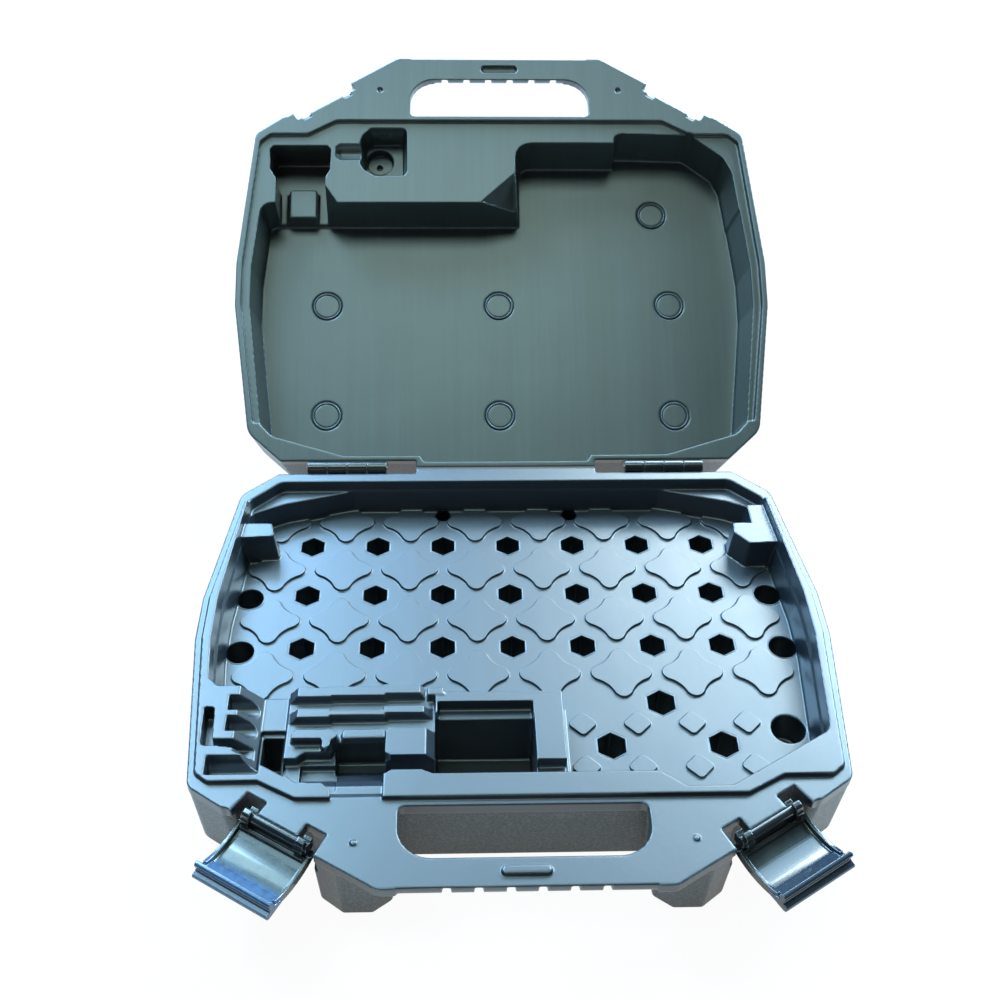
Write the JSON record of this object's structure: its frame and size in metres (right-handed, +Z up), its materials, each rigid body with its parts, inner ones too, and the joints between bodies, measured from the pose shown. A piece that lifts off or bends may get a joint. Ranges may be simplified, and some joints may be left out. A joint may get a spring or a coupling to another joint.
{
  "type": "hard tool case",
  "caption": "Open blow-moulded hard case for a small power tool: moulded tray with compartments, deep lid, split carrying handle, corner clip latches and knuckle hinges.",
  "frame": {"origin": "on the surface the base stands on, midway between the sides and midway from the hinge axis to a line 150 mm in front of it", "axes": "+X to the right as seen from the handle, +Y from the handle to the hinge, +Z up, out of the base"},
  "size_m": [0.3814, 0.6024, 0.2259],
  "materials": {
    "base_shell": "satin, seen light blue where it mirrors the sky",
    "lid_shell": "satin, seen grey green",
    "fittings": "gloss",
    "hinge_pins": "plain drawn wire"
  },
  "bodies": {
    "base": {"base_half": "base_shell", "base_hinge_leaf_left": "fittings", "base_hinge_leaf_right": "fittings", "hinge_pin_left": "hinge_pins", "hinge_pin_right": "hinge_pins", "latch_rod_left": "fittings", "latch_rod_right": "fittings"},
    "lid": {"lid_half": "lid_shell", "lid_hinge_leaf_left": "fittings", "lid_hinge_leaf_right": "fittings"},
    "latch_left": {"latch_left": "fittings"},
    "latch_right": {"latch_right": "fittings"}
  },
  "joints": [
    {"name": "lid_hinge", "type": "hinge", "parent": "base", "child": "lid", "pos_m": [0, 0.15, 0.052], "axis": [1, 0, 0], "range_deg": [0, 147]},
    {"name": "latch_left_pivot", "type": "hinge", "parent": "base", "child": "latch_left", "pos_m": [-0.1298, -0.13276, 0.0484], "axis": [-0.8553, 0.5181, 0], "range_deg": [0, 95]},
    {"name": "latch_right_pivot", "type": "hinge", "parent": "base", "child": "latch_right", "pos_m": [0.1298, -0.13276, 0.0484], "axis": [-0.8553, -0.5181, 0], "range_deg": [0, 95]}
  ]
}
